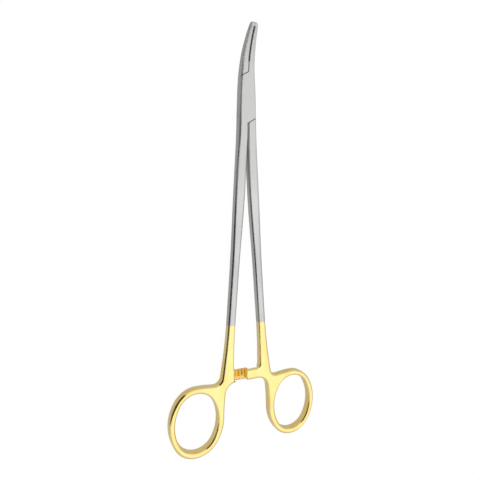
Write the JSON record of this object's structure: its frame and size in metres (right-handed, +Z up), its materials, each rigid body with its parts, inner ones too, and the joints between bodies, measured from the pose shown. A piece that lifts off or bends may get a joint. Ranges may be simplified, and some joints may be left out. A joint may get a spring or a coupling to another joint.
{
  "type": "surgical needle holder",
  "caption": "Ring-handled needle holder with up-curved insert-faced jaws, a box lock, long bowed shanks, a saw-tooth ratchet and oval finger rings.",
  "frame": {"origin": "on the lock pin's axis, in the plane that the underside of the box lies in", "axes": "+Y from the pivot to the jaw tips, +X to the right finger ring, +Z up through the lock, the way the jaws curve"},
  "size_m": [0.082, 0.2102, 0.0122],
  "materials": {
    "forged_steel": "satin, with gold-plated handles and rings",
    "pin_steel": "satin, ground flush",
    "carbide": "sintered, finely cross-cut"
  },
  "bodies": {
    "box_side": {"box_half": "forged_steel", "lock_pin": "pin_steel", "box_jaw_insert": "carbide"},
    "tongue_side": {"tongue_half": "forged_steel", "tongue_jaw_insert": "carbide"}
  },
  "joints": [
    {"name": "box_lock_hinge", "type": "hinge", "parent": "box_side", "child": "tongue_side", "pos_m": [0, 0, 0.0027], "axis": [0, 0, 1], "range_deg": [0, 30]}
  ]
}
